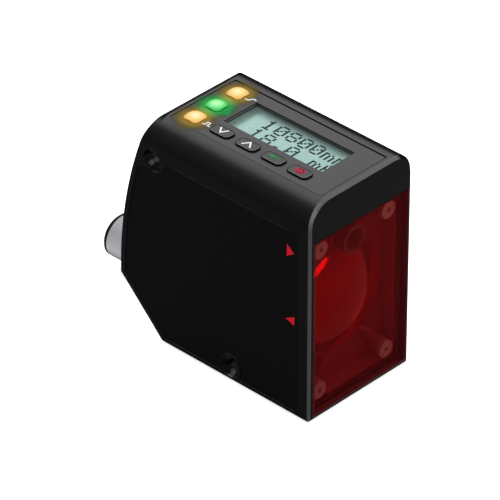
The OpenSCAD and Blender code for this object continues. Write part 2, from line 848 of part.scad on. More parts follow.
// Liquid crystal glass
module display_crystal() {
    color("#9db4ae") place() block(view_x + [-1, 1], view_y + [-1.5, 1.5], [backlight_z, crystal_z]);
}

// Light guide under the liquid crystal glass
module display_backlight() {
    color("#e8e8e2") place() block(view_x + [-1.4, 1.4], view_y + [-2.2, 2.2], [board_z, backlight_z]);
}

// Circuit board under the panel
module display_board() {
    color("#1f5a34") place() difference() {
        block(panel_x + [board_edge, -board_edge], panel_y + [board_edge, -board_edge], [board_z - board_t, board_z]);
        for (p = peg_places) translate(p) cylinder(r = peg_r, h = body_h);
    }
}

// Flat ribbon from the display board down to the main board
module display_ribbon() {
    color("#c98f2e") place() block(ribbon_x, [main_y - ribbon_t, main_y], [laser_z - 1, board_z - board_t]);
}

// Four push switches on the display board
module key_switches() {
    color("#2a2a2c") place() for (y = key_y) translate([key_x, y, board_z]) {
        translate([-switch_w / 2, -switch_l / 2, 0]) cube([switch_w, switch_l, switch_h]);
        cylinder(r = plunger_r, h = plunger_z - board_z);
    }
}

// Outline of a key with cut corners, larger all round by a gap
module key_outline(gap) {
    x = key_w / 2 + gap;
    y = key_l / 2 + gap;
    c = key_corner + gap * 0.4;
    polygon([
        [-x + c, -y], [x - c, -y], [x, -y + c], [x, y - c],
        [x - c, y], [-x + c, y], [-x, y - c], [-x, -y + c]
    ]);
}

// Key with a flange under the panel and a stem over its switch
module key_cap(index) {
    color("#4a4a4c") place() translate([key_x, key_y[index], 0]) {
        translate([0, 0, flange_z + flange_t - 0.1])
            linear_extrude(face_z + key_proud - flange_z - flange_t + 0.1) key_outline(0);
        translate([0, 0, flange_z]) linear_extrude(flange_t) key_outline(key_flange);
        translate([0, 0, flange_z - stem_l]) cylinder(r = stem_r, h = stem_l + 0.1);
    }
}

// Key that steps down
module key_down() { key_cap(3); }

// Key that steps up
module key_up() { key_cap(2); }

// Key that accepts
module key_enter() { key_cap(1); }

// Key that goes back
module key_back() { key_cap(0); }

// Light sources of the three lamps
module lamp_chips() {
    color("#f4f1dc") place() for (i = [-1 : 1]) translate([lamp_x + i * lamp_pitch - 1, lamp_y - 0.7, board_z])
        cube([2, 1.4, 0.8]);
}

// Outline of a lamp, larger all round by a gap
module lamp_outline(gap) {
    h = lamp_w / 2 + gap;
    round_rect([-h, h], [-h, h], lamp_corner);
}

// Lamp lens with a domed top, a flange under the panel and a light guide
module lamp_lens(index) {
    ball = (pow(lamp_w * 0.7, 2) + pow(lamp_proud, 2)) / (2 * lamp_proud);
    place() translate([lamp_x + index * lamp_pitch, lamp_y, 0]) {
        intersection() {
            translate([0, 0, under_z - 0.1]) linear_extrude(panel_t + lamp_proud + 0.1) lamp_outline(0);
            translate([0, 0, face_z + lamp_proud - ball]) sphere(ball, $fn = 180);
        }
        translate([0, 0, under_z - lamp_flange_t]) linear_extrude(lamp_flange_t) lamp_outline(lamp_flange);
        translate([0, 0, board_z + over]) cylinder(r = 1.6, h = under_z - board_z - over - lamp_flange_t / 2);
    }
}

// Amber lamp on the near side
module lamp_left() { color("#f2b65a") lamp_lens(-1); }

// Green lamp in the middle
module lamp_middle() { color("#5fe08a") lamp_lens(0); }

// Amber lamp on the far side
module lamp_right() { color("#f2b65a") lamp_lens(1); }

// Thin label in the recess of one side
module side_label(side) {
    color("#101011") place()
        translate([side * (body_w / 2 - label_depth + label_t / 2), 0, 0])
            along_x(label_t) label_outline(label_gap);
}

// Label on the near side
module label_left() { side_label(-1); }

// Label on the far side
module label_right() { side_label(1); }

// Turning elbow that carries the plug barrel
module swivel_elbow() {
    size = total_l;
    color("#1d1d1f") place() difference() {
        union() {
            at_slant() {
                translate([0, 0, -disc_sink]) cylinder(r = disc_r, h = disc_sink + disc_proud);
                translate([0, 0, -hub_end]) cylinder(r = hub_r, h = hub_end);
            }
            intersection() {
                at_barrel() bar_y(elbow_r, foot_l - size / 4, elbow_end);
                at_slant() translate([-size / 2, -size / 2, disc_proud / 2]) cube(size);
            }
        }
        at_slant() {
            translate([0, 0, -hub_end - over]) cylinder(r = duct_r, h = hub_end + over);
            translate([0, 0, -clip_z - clip_t]) difference() {
                cylinder(r = hub_r + over, h = clip_t);
                translate([0, 0, -over]) cylinder(r = groove_r, h = clip_t + 2 * over);
            }
            translate([0, 0, -disc_floor]) difference() {
                cylinder(r = ring_seat + 2 * ring_r, h = turn_gap + 2 * ring_r);
                cylinder(r = ring_seat - 2 * ring_r, h = turn_gap + 2 * ring_r);
            }
        }
        at_barrel() {
            bar_y(duct_r, disc_y - barrel_z + disc_z, elbow_end + over);
            bar_y(spigot_r, spigot_y, elbow_end + over);
        }
    }
}

// Soft ring under the swivel disc
module swivel_seal() {
    color("#0c0c0c") place() at_slant() translate([0, 0, ring_z])
        rotate_extrude() translate([ring_seat, 0]) circle(ring_r - 0.01, $fn = 32);
}

// Spring clip that keeps the hub in the housing
module swivel_clip() {
    color("#a9a9ad") place() at_slant() translate([0, 0, -clip_z - clip_t + 0.05]) difference() {
        cylinder(r = clip_r, h = clip_t - 0.1);
        translate([0, 0, -over]) cylinder(r = groove_r + seat_gap, h = clip_t + 2 * over);
        translate([-1.5, groove_r - 1, -over]) cube([3, clip_r, clip_t + 2 * over]);
    }
}

// Metal barrel of the plug with its collar and spigot
module plug_barrel() {
    color("#b4b4ba") place() at_barrel() difference() {
        union() {
            bar_y(spigot_r, spigot_y, elbow_end + 0.2);
            bar_y(elbow_r, elbow_end, thread_y);
            bar_y(barrel_r, thread_y - 0.2, total_l - barrel_edge);
            bar_y(barrel_r, total_l - barrel_edge, total_l, barrel_r - barrel_edge);
        }
        bar_y(insert_r, spigot_y - over, total_l);
        bar_y(socket_r, insert_end - 1, total_l + over);
    }
}

// Insulating insert of the plug with a coding key
module plug_insert() {
    color("#161616") place() at_barrel() difference() {
        union() {
            bar_y(insert_r, spigot_y, insert_end - 0.9);
            bar_y(socket_r, insert_end - 1, insert_end);
            intersection() {
                bar_y(socket_r, insert_end - 0.5, total_l - 1.5);
                block([-0.6, 0.6], [insert_end - 0.5, total_l - 1.5], [socket_r - 0.7, socket_r + 1]);
            }
        }
        for (p = pin_places) translate([p[0], 0, p[1]]) bar_y(pin_r, spigot_y - over, insert_end + over);
    }
}

// Five contact pins with round tips
module contact_pins() {
    color("#d2aa4e") place() at_barrel() for (p = pin_places) translate([p[0], 0, p[1]]) {
        bar_y(pin_r, spigot_y - 1.5, pin_end);
        translate([0, pin_end, 0]) sphere(pin_r, $fn = 32);
    }
}

// Five bars round the swivel axis, from the wire plug up to a height
module wires(height) {
    at_slant() for (p = pin_places) translate([p[0] * bundle, p[1] * bundle, -wire_reach])
        cylinder(r = wire_r, h = wire_reach + height, $fn = 32);
}

// Wires that pass through the hub to the main board
module inner_wires() {
    color("#6b4a2a") place() wires(-1);
}

// Wire plug on the main board
module wire_plug() {
    color("#d9d5c6") place() difference() {
        block([-plug_w / 2, plug_w / 2], plug_y, plug_z);
        wires(0);
    }
}

housing();
front_window();
window_seal();
optics_chassis();
front_screws();
receiving_lens();
receiver_cone();
receiver_filter();
light_detector();
laser_tube();
laser_lens();
laser_lens_ring();
laser_diode();
optics_board();
board_header();
main_board();
board_standoffs();
board_screws();
display_panel();
panel_seal_ring();
display_cover();
display_crystal();
display_backlight();
display_board();
display_ribbon();
key_switches();
key_down();
key_up();
key_enter();
key_back();
lamp_chips();
lamp_left();
lamp_middle();
lamp_right();
label_left();
label_right();
swivel_elbow();
swivel_seal();
swivel_clip();
plug_barrel();
plug_insert();
contact_pins();
inner_wires();
wire_plug();
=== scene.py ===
"""Looks of a compact laser distance sensor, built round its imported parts.

Lengths are in metres, or in mm where a comment says so. The sensor looks along -Y. Its near side, which the
camera sees, looks along -X, and its far side along +X.
"""

import math

import bpy
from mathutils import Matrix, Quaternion, Vector


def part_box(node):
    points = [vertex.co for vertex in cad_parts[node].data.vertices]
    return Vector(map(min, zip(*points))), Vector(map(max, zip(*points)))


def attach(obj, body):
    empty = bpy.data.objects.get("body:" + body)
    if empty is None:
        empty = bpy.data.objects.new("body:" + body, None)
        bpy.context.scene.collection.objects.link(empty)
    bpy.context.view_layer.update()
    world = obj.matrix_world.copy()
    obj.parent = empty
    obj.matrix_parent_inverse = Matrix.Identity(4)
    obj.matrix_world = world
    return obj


MM = 0.001

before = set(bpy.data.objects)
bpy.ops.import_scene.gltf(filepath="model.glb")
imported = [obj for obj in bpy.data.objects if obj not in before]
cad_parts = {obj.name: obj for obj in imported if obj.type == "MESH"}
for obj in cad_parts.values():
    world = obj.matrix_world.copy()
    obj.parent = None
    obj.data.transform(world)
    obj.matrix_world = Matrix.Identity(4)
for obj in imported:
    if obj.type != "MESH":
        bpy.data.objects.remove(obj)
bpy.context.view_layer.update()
housing_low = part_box("housing")[0]
panel_low, panel_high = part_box("display_panel")
crystal_low, crystal_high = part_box("display_crystal")
FRONT = housing_low.y
FACE_Z = panel_high.z


# Camera
AIM = Vector((-3.416, -7.860, 28.181)) * MM
AZIMUTH = math.radians(-46.22)
ELEVATION = math.radians(34.256)
DISTANCE = 1.1729
FOCAL_LENGTH = 344.0
CLIP_START = 0.05


def direction(azimuth, elevation):
    """Unit vector away from the object, where azimuth 0 is towards the front of the sensor."""
    flat = math.cos(elevation)
    return Vector((math.sin(azimuth) * flat, -math.cos(azimuth) * flat, math.sin(elevation)))


def make_camera():
    data = bpy.data.cameras.new("camera")
    data.lens = FOCAL_LENGTH
    data.clip_start = CLIP_START
    camera = bpy.data.objects.new("camera", data)
    back = direction(AZIMUTH, ELEVATION)
    camera.location = AIM + back * DISTANCE
    camera.rotation_mode = "QUATERNION"
    camera.rotation_quaternion = (-back).to_track_quat("-Z", "Y")
    bpy.context.scene.collection.objects.link(camera)
    bpy.context.scene.camera = camera


# Node trees
def set_inputs(tree, made, inputs):
    """Sets inputs of a node, each to a value or to another node's output."""
    for key, value in inputs.items():
        if isinstance(value, bpy.types.NodeSocket):
            tree.links.new(value, made.inputs[key])
        else:
            made.inputs[key].default_value = value


def node(tree, kind, inputs=None, **settings):
    """Adds a node with these inputs and properties."""
    made = tree.nodes.new(kind)
    for key, value in settings.items():
        setattr(made, key, value)
    set_inputs(tree, made, inputs or {})
    return made


def joined_by(operation):
    """Function that joins values by a maths operation, from the first to the last."""
    def join(tree, first, *others):
        for other in others:
            first = node(tree, "ShaderNodeMath", {0: first, 1: other}, operation=operation).outputs[0]
        return first
    return join


times, plus, minus = joined_by("MULTIPLY"), joined_by("ADD"), joined_by("SUBTRACT")
most, least = joined_by("MAXIMUM"), joined_by("MINIMUM")
over, under = joined_by("GREATER_THAN"), joined_by("LESS_THAN")


def rescaled(tree, value, low, high, start=0.0, end=1.0, **settings):
    """Low where value is at start, high where it is at end, and between them on the way."""
    inputs = {"Value": value, "From Min": start, "From Max": end, "To Min": low, "To Max": high}
    return node(tree, "ShaderNodeMapRange", inputs, **settings).outputs["Result"]


def fade(tree, value, start, end):
    """1 where value is at start, falling smoothly to 0 at end."""
    return rescaled(tree, value, 1.0, 0.0, start, end, interpolation_type="SMOOTHSTEP")


def within(tree, value, low, high, soft=0.1 * MM):
    """1 where value is between low and high, with soft ends."""
    half = soft / 2
    return times(tree, fade(tree, value, low + half, low - half), fade(tree, value, high - half, high + half))


def mix_colour(tree, factor, a, b):
    """Colour a where factor is 0, and b where it is 1. These are inputs 6 and 7 of a Mix node for colours."""
    return node(tree, "ShaderNodeMix", {0: factor, 6: a, 7: b}, data_type="RGBA").outputs[2]


def scaled(tree, colour, factor):
    """Colour made paler or darker by a factor."""
    return node(tree, "ShaderNodeVectorMath", {0: colour, "Scale": factor}, operation="SCALE").outputs[0]


def ramp(tree, value, stops):
    """Colour ramp through the stops, each a place from 0 to 1 and a colour."""
    made = node(tree, "ShaderNodeValToRGB", {"Fac": value})
    elements = made.color_ramp.elements
    while len(elements) < len(stops):
        elements.new(0.5)
    for element, (place, colour) in zip(elements, stops):
        element.position = place
        element.color = colour
    return made.outputs["Color"]


def object_point(tree):
    return node(tree, "ShaderNodeTexCoord").outputs["Object"]


def object_place(tree):
    """The X, Y and Z of a point."""
    return node(tree, "ShaderNodeSeparateXYZ", {0: object_point(tree)}).outputs


def facing(tree):
    """The X, Y and Z of the way a face looks."""
    return node(tree, "ShaderNodeSeparateXYZ", {0: node(tree, "ShaderNodeTexCoord").outputs["Normal"]}).outputs


def upward(tree, way):
    """How far a face looks up, from 0 for down to 1 for up."""
    return rescaled(tree, way["Z"], 0.0, 1.0, -1.0, 1.0)


def noise(tree, size, detail=4.0, stretch=(1, 1, 1)):
    """Noise with features of about that size in mm, drawn out along an axis where stretch is over 1."""
    scale = [1 / (size * MM * s) for s in stretch]
    mapped = node(tree, "ShaderNodeMapping", {"Vector": object_point(tree), "Scale": scale})
    inputs = {"Vector": mapped.outputs[0], "Scale": 1.0, "Detail": detail}
    return node(tree, "ShaderNodeTexNoise", inputs).outputs["Fac"]


def uneven(tree, value, low, high):
    """From low to high over the range that most of the noise in value has."""
    return rescaled(tree, value, low, high, 0.3, 0.7)


# Colours and finishes
NO_LIGHT = [0.0, 0.0, 0.0, 1.0]
WHITE = [1.0, 1.0, 1.0, 1.0]


def linear(red, green, blue):
    """Linear colour from the 0 to 255 values that a screen shows."""
    shown = [v / 255 for v in (red, green, blue)]
    return [v / 12.92 if v <= 0.04045 else ((v + 0.055) / 1.055) ** 2.4 for v in shown] + [1.0]


def grey(value):
    return [value, value, value * 1.01, 1.0]


def grey_stops(stops):
    return [(place, grey(value)) for place, value in stops]


def darker(colour, share):
    return [c * share for c in colour[:3]] + [1.0]


def new_material(name):
    material = bpy.data.materials.new(name)
    material.use_nodes = True
    tree = material.node_tree
    return material, tree, tree.nodes["Principled BSDF"]


def overlay(material, factor, colour):
    """Paints a colour over the base colour of a material, as far as factor says."""
    tree = material.node_tree
    socket = tree.nodes["Principled BSDF"].inputs["Base Color"]
    tree.links.new(mix_colour(tree, factor, socket.links[0].from_socket, colour), socket)


def emboss(tree, shader, value, relief):
    """Fine relief that follows the noise in value, so many mm deep."""
    bump = node(tree, "ShaderNodeBump", {"Height": value, "Strength": 1.0, "Distance": relief * MM})
    set_inputs(tree, shader, {"Normal": bump.outputs["Normal"]})


def finish(name, dark, light, grain, stretch=(1, 1, 1), rough=(0.4, 0.5), relief=0.0, level=0.5, metallic=0.0):
    """Material between two tones, with uneven roughness and a fine relief. Grain and relief are in mm."""
    material, tree, shader = new_material(name)
    value = noise(tree, grain, stretch=stretch)
    set_inputs(tree, shader, {
        "Base Color": ramp(tree, value, [(0.35, dark), (0.65, light)]),
        "Roughness": uneven(tree, value, *rough),
        "Specular IOR Level": level,
        "Metallic": metallic,
    })
    if relief:
        emboss(tree, shader, value, relief)
    return material


# Black finish. The specular level of the matt parts is low.
MATT = 0.012
BLACK = 0.003
DEEP_BLACK = BLACK / 3
# Grey of faces that look up: painted light on the housing top, and the own grey of the panel and the keys
TOP_GREY_AND_LIGHT = 0.08
FRONT_HIGHLIGHT_GREY = 0.125
# Its tone by how far a face looks up, from 0 for upright to 1 for level: painted light that greys the top and
# shades the shoulders and sides to black
UPWARD = ((0.0, BLACK), (0.17, 0.0045), (0.34, 0.009), (0.5, 0.0125), (0.643, 0.016), (0.707, 0.021),
          (0.766, 0.033), (0.819, 0.055), (0.866, 0.072), (0.9, TOP_GREY_AND_LIGHT))
# Painted highlight on the bevel round the front: its tone by how far it looks up, from 0 for down to 1 for up, its
# depth, and the Y between which it fades out at its rear end and, on top, at its front end
BEVEL_HIGHLIGHT_TONES = ((0.0, 0.001), (0.42, 0.001), (0.5, 0.072), (0.6, 0.15), (0.7, 0.21), (0.85, 0.13), (1.0, TOP_GREY_AND_LIGHT))
BEVEL_DEPTH = 0.83 * MM
BEVEL_REAR_END = (FRONT + BEVEL_DEPTH * 0.8, FRONT + BEVEL_DEPTH * 1.1)
BEVEL_FRONT_END = (FRONT + 0.18 * MM, FRONT + 0.04 * MM)


def not_far(tree, way):
    """1 but on faces that look to the far side."""
    return fade(tree, way["X"], 0.1, 0.3)


def bevel_highlight(tree, way, tone):
    """Tone with the painted highlight on the bevel round the front added."""
    y = object_place(tree)["Y"]
    rear_end, front_end = fade(tree, y, *BEVEL_REAR_END), fade(tree, y, *BEVEL_FRONT_END)
    upright = fade(tree, way["Z"], 0.6, 0.2)
    slanted = fade(tree, times(tree, way["Y"], -1.0), 0.85, 0.92)
    # Painted highlight on the bevel
    highlighted = times(tree, under(tree, y, FRONT + BEVEL_DEPTH),
                 most(tree, times(tree, rear_end, front_end), upright), not_far(tree, way), slanted)
    return mix_colour(tree, highlighted, tone, ramp(tree, upward(tree, way), grey_stops(BEVEL_HIGHLIGHT_TONES)))


def black_with_painted_top_light(name, grain, rough, relief, with_bevel_highlight=False):
    """Black finish with painted light, grey on faces that look up and shading to black as they turn upright, and
    plain black on the far and rear faces as painted shade. Grain and relief are in mm.
    """
    material, tree, shader = new_material(name)
    value = noise(tree, grain)
    way = facing(tree)
    # Painted shade: faces that look to the far side or the rear keep plain black
    painted_light_share = times(tree, fade(tree, way["X"], 0.02, 0.31), fade(tree, way["Y"], 0.35, 0.6))
    tone = mix_colour(tree, painted_light_share, grey(BLACK), ramp(tree, way["Z"], grey_stops(UPWARD)))
    if with_bevel_highlight:
        tone = bevel_highlight(tree, way, tone)
    duller = times(tree, fade(tree, way["X"], 0.4, 0.1), 0.5)
    set_inputs(tree, shader, {
        "Base Color": scaled(tree, tone, uneven(tree, value, 0.9, 1.1)),
        "Roughness": plus(tree, uneven(tree, value, *rough), duller),
        "Specular IOR Level": MATT,
    })
    emboss(tree, shader, value, relief)
    return material


# Painted light of the lamps on the surface round them, and how much of the surface's own tone is taken away under
# it
AMBER = [0.30, 0.20, 0.0, 1.0]
GREEN = [0.0, 0.41, 0.053, 1.0]
LAMPS = {"lamp_left": AMBER, "lamp_middle": GREEN, "lamp_right": AMBER}
GLOW_ENDS = (1.5 * MM, 6.2 * MM)
GLOW_BASE_DARKENING_ENDS = (4.2 * MM, 6.5 * MM)
GLOW_BASE_DARKENING = 0.75


def lamp_distance(tree, lamp):
    """Distance of a point from the upright axis of a lamp."""
    low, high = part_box(lamp)
    middle = (low + high) / 2
    flat = node(tree, "ShaderNodeVectorMath", {0: object_point(tree), 1: (1, 1, 0)}, operation="MULTIPLY")
    ends = {0: flat.outputs[0], 1: (middle.x, middle.y, 0)}
    return node(tree, "ShaderNodeVectorMath", ends, operation="DISTANCE").outputs["Value"]


def lamp_glow(material):
    """Adds the painted light that the lamps throw round them, and takes away the surface's own tone there."""
    tree = material.node_tree
    on_top = fade(tree, object_place(tree)["Z"], FACE_Z - 1.5 * MM, FACE_Z - 3.5 * MM)
    distances = [lamp_distance(tree, lamp) for lamp in LAMPS]
    glow, *others = [mix_colour(tree, fade(tree, away, *GLOW_ENDS), NO_LIGHT, colour)
                     for away, colour in zip(distances, LAMPS.values())]
    for light in others:
        glow = node(tree, "ShaderNodeVectorMath", {0: glow, 1: light}, operation="ADD").outputs[0]
    # Base tone darkened under the painted light of the lamps
    overlay(material, times(tree, fade(tree, least(tree, *distances), *GLOW_BASE_DARKENING_ENDS), on_top, GLOW_BASE_DARKENING), NO_LIGHT)
    set_inputs(tree, tree.nodes["Principled BSDF"], {"Emission Color": glow, "Emission Strength": on_top})
    return material


# Painted lines of the housing: a painted highlight along the front edge of its top, the gaps round the panel,
# painted shade on the rim of the front up to a height, and the dark line across the rear end of its top
FRONT_HIGHLIGHT_WIDTH = 0.35 * MM
FAR_GAP = 0.32 * MM
REAR_GAP = 0.2 * MM
RIM_DEPTH = 0.02 * MM
RIM_TOP = 52.5 * MM
REAR_LINE = (FRONT + 52.85 * MM, FRONT + 52.65 * MM)

# Cross holes in mm: Y from the front and Z of the axis, the angle and half width of the strip of the wall with
# painted light on it, with the ends of the strip in X, and the spot of painted shade by its Y and Z from the axis
HOLES = (
    {"axis": (52.5, 52.9), "angle": -49, "half_width": 0.55, "ends": (-17.2, -14.6), "spot": (2.8, 0.5)},
    {"axis": (26.7, 4.1), "angle": -84, "half_width": 0.7, "ends": (-18, -15.7), "spot": (2.4, -0.7)},
)
HOLE_REACH = 3.4 * MM
MOUTH_ENDS = (-16.4 * MM, -15.0 * MM)
SHADED_ENDS = (-12 * MM, -8 * MM)
SHADE_SPOT_ENDS = (0.4 * MM, 1.0 * MM)


def shade_hole(material, axis, angle, half_width, ends, spot):
    """Painted light and shade inside the near end of a cross hole: a paler wall, painted light on a strip of it,
    and a spot of painted shade.
    """
    tree = material.node_tree
    place = object_place(tree)
    y = minus(tree, place["Y"], FRONT + axis[0] * MM)
    z = minus(tree, place["Z"], axis[1] * MM)

    def distance(y_place, z_place):
        dy, dz = minus(tree, y, y_place * MM), minus(tree, z, z_place * MM)
        squares = plus(tree, times(tree, dy, dy), times(tree, dz, dz))
        return node(tree, "ShaderNodeMath", {0: squares}, operation="SQRT").outputs[0]

    inside = times(tree, under(tree, distance(0, 0), HOLE_REACH),
                   over(tree, place["X"], housing_low.x + 0.15 * MM), fade(tree, place["X"], *SHADED_ENDS))
    mouth = fade(tree, place["X"], *MOUTH_ENDS)
    # Painted light on the wall inside the hole, paler at its mouth
    overlay(material, inside, mix_colour(tree, mouth, grey(0.15), grey(0.032)))
    # Painted shade in a spot inside the hole
    overlay(material, times(tree, inside, fade(tree, distance(*spot), *SHADE_SPOT_ENDS)), grey(BLACK))
    turn = math.radians(angle)
    across = plus(tree, times(tree, y, -math.sin(turn)), times(tree, z, math.cos(turn)))
    along = plus(tree, times(tree, y, math.cos(turn)), times(tree, z, math.sin(turn)))
    strip = times(tree, within(tree, across, -half_width * MM, half_width * MM, 0.3 * MM),
                  over(tree, along, MM), within(tree, place["X"], *(end * MM for end in ends), 0.3 * MM))
    # Painted light on a strip of the wall
    overlay(material, times(tree, inside, strip), mix_colour(tree, mouth, grey(0.6), grey(0.27)))


def housing_black():
    """Black housing with its painted lines, among them a painted highlight and painted shade, and painted light
    and shade inside its cross holes.
    """
    material = lamp_glow(black_with_painted_top_light("housing_black", 0.35, (0.36, 0.46), 0.003, with_bevel_highlight=True))
    tree = material.node_tree
    place, way = object_place(tree), facing(tree)
    # Painted highlight along the front edge of the top
    front_highlight = times(tree, under(tree, place["Y"], FRONT + FRONT_HIGHLIGHT_WIDTH), over(tree, way["Z"], 0.5),
                       not_far(tree, way))
    overlay(material, front_highlight, grey(FRONT_HIGHLIGHT_GREY))
    level = over(tree, way["Z"], 0.9)
    beside = within(tree, place["Y"], panel_low.y, panel_high.y + 0.15 * MM)
    far_gap = times(tree, within(tree, place["X"], panel_high.x - MM, panel_high.x + FAR_GAP), beside, level)
    behind = within(tree, place["X"], panel_low.x, panel_high.x)
    rear_gap = times(tree, within(tree, place["Y"], panel_high.y - MM, panel_high.y + REAR_GAP), behind, level)
    overlay(material, most(tree, far_gap, rear_gap), grey(BLACK))
    # Painted shade on the front rim below the brow
    shaded_rim = times(tree, under(tree, place["Y"], FRONT + RIM_DEPTH), under(tree, place["Z"], RIM_TOP))
    overlay(material, shaded_rim, grey(DEEP_BLACK))
    rear_line = times(tree, fade(tree, place["Y"], *REAR_LINE), fade(tree, way["Z"], 0.95, 0.8))
    overlay(material, rear_line, grey(DEEP_BLACK))
    for hole in HOLES:
        shade_hole(material, **hole)
    return material


# Panel: how far its opening for the display reaches inside the box of the crystal in X and Y, and the lines round
# its edges: dark ones along the gaps and the top of the opening, painted shade at its foot, and painted light on
# its near edge
OPENING_INSET = Vector((0.7, 1.2)) * MM
SHADED_FOOT_HEIGHT = 0.3 * MM
TOP_RIM = (FACE_Z - 0.22 * MM, FACE_Z - 0.5 * MM)
LIT_NEAR_EDGE = 0.05 * MM
FAR_EDGE = 0.08 * MM
FRONT_EDGE = 0.2 * MM


def panel_grey():
    """Grey panel whose walls round the display are toned by the way they face as painted light, with painted shade
    along their foot, dark lines along their top and along the far, rear and front gaps, and painted light on its
    near edge.
    """
    material = lamp_glow(black_with_painted_top_light("panel_grey", 0.25, (0.34, 0.42), 0.002))
    tree = material.node_tree
    place, way = object_place(tree), facing(tree)
    upright = fade(tree, way["Z"], 0.4, 0.6)
    low, high = crystal_low.xy + OPENING_INSET, crystal_high.xy - OPENING_INSET
    opening = times(tree, within(tree, place["X"], low.x, high.x), within(tree, place["Y"], low.y, high.y))
    forward = fade(tree, way["Y"], -0.8, -0.2)
    # Walls of the opening: the panel's grey, in two tones by the way they face, as painted light
    overlay(material, times(tree, upright, opening), mix_colour(tree, forward, grey(0.1), grey(0.08)))
    # Painted shade at the foot of the walls
    foot = times(tree, under(tree, place["Z"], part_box("display_cover")[1].z + SHADED_FOOT_HEIGHT), forward)
    rims = most(tree, fade(tree, place["Z"], *TOP_RIM), foot)
    overlay(material, times(tree, upright, opening, rims, 0.7), grey(BLACK))
    # Painted light on the near side wall of the panel
    lit_near_edge = under(tree, place["X"], panel_low.x + LIT_NEAR_EDGE)
    overlay(material, times(tree, upright, lit_near_edge), grey(0.2))
    far_edge = over(tree, place["X"], panel_high.x - FAR_EDGE)
    front_edge = under(tree, place["Y"], panel_low.y + FRONT_EDGE)
    overlay(material, most(tree, far_edge, front_edge), grey(BLACK))
    return material


# Keys: the flange round their foot, the cut of their corners, and the width of the painted shade and highlight
# lines on top
KEYS = ("key_down", "key_up", "key_enter", "key_back")
KEY_FLANGE = 0.5 * MM
KEY_CORNER = 0.8 * MM
KEY_LINE = 0.3 * MM


def key_grey(key):
    """Key whose top has a line of painted shade along its rear and far edges, and a painted highlight along the
    others.
    """
    material = black_with_painted_top_light(key, 0.2, (0.34, 0.44), 0.002)
    tree = material.node_tree
    low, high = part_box(key)
    middle = (low + high) / 2
    half_x, half_y = (high.x - low.x) / 2 - KEY_FLANGE, (high.y - low.y) / 2 - KEY_FLANGE
    half_cut = (half_x + half_y - KEY_CORNER) / math.sqrt(2)
    place = object_place(tree)
    x, y = minus(tree, place["X"], middle.x), minus(tree, place["Y"], middle.y)
    cut = times(tree, plus(tree, x, y), 1 / math.sqrt(2))
    far = least(tree, minus(tree, half_x, x), minus(tree, half_y, y), minus(tree, half_cut, cut))
    near = least(tree, plus(tree, half_x, x), plus(tree, half_y, y), plus(tree, half_cut, cut))
    # Painted shade along the rear and far edges of the top, painted highlight along the others
    overlay(material, times(tree, fade(tree, far, KEY_LINE * 0.8, KEY_LINE * 1.2), 0.75), grey(BLACK))
    pale = times(tree, fade(tree, near, KEY_LINE * 0.6, KEY_LINE), 0.5, over(tree, facing(tree)["Z"], 0.5))
    overlay(material, pale, grey(2 * TOP_GREY_AND_LIGHT))
    return material


# Lenses of the lamps: their tones from the middle outwards, and where these lie
LENS_PLACES = (0.03, 0.2, 0.4, 0.6, 0.85)
AMBER_LENS = (linear(252, 238, 194), linear(253, 222, 148), linear(236, 186, 105), linear(185, 138, 62),
              linear(150, 112, 45))
GREEN_LENS = (linear(200, 255, 190), linear(140, 240, 152), linear(75, 195, 98), linear(28, 145, 55),
              linear(20, 120, 45))
LAMP_RADIUS = 2.9 * MM


def lamp_lens(lamp, tones):
    """Glowing lens of a lamp, brightest in its middle and darker on its slopes."""
    material, tree, shader = new_material(lamp)
    away = rescaled(tree, lamp_distance(tree, lamp), 0.0, 0.4, 0.0, LAMP_RADIUS)
    slope = times(tree, minus(tree, 1.0, facing(tree)["Z"]), 1.2)
    grain = times(tree, minus(tree, noise(tree, 0.6, 2.0), 0.5), 0.15)
    colour = ramp(tree, plus(tree, away, slope, grain), list(zip(LENS_PLACES, tones)))
    set_inputs(tree, shader, {
        "Emission Color": colour,
        "Emission Strength": 0.72,
        "Base Color": mix_colour(tree, 0.7, colour, NO_LIGHT),
        "Roughness": 0.3,
        "Specular IOR Level": MATT,
    })
    return material


# Clear parts
def see_through(name, tint, body, share, level, grain):
    """Clear material that tints what is behind it, with a share of a surface of its own. Grain is in mm."""
    material, tree, shader = new_material(name)
    set_inputs(tree, shader, {
        "Base Color": ramp(tree, noise(tree, grain, 2.0), [(0.3, darker(body, 0.7)), (0.7, body)]),
        "Roughness": 0.08,
        "Specular IOR Level": level,
    })
    clear = node(tree, "ShaderNodeBsdfTransparent", {"Color": tint})
    mixed = node(tree, "ShaderNodeMixShader", {0: share, 1: clear.outputs[0], 2: shader.outputs[0]}, name="share")
    set_inputs(tree, tree.nodes["Material Output"], {"Surface": mixed.outputs[0]})
    return material


# Share of its own surface that the pane shows, in the middle and along its edges
PANE_SHARE = 0.2
PANE_EDGE_SHARE = 0.9


def window_pane():
    """Red pane with painted shade along its sides and a painted highlight along its foot."""
    material = see_through("window_red", [0.95, 0.54, 0.54, 1], [0.17, 0.006, 0.008, 1], PANE_SHARE, MATT, 2)
    tree = material.node_tree
    low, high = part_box("front_window")
    place = object_place(tree)
    sides = most(tree, fade(tree, place["X"], low.x + 0.1 * MM, low.x + 1.5 * MM),
                 fade(tree, place["X"], high.x - 0.2 * MM, high.x - 0.6 * MM))
    foot = fade(tree, place["Z"], low.z + 0.15 * MM, low.z + 0.3 * MM)
    # Painted shade along the sides, painted highlight along the foot
    overlay(material, sides, [0.02, 0.008, 0.009, 1])
    overlay(material, foot, [0.1, 0.04, 0.045, 1])
    share = rescaled(tree, most(tree, sides, foot), PANE_SHARE, PANE_EDGE_SHARE)
    set_inputs(tree, tree.nodes["share"], {0: share})
    return material


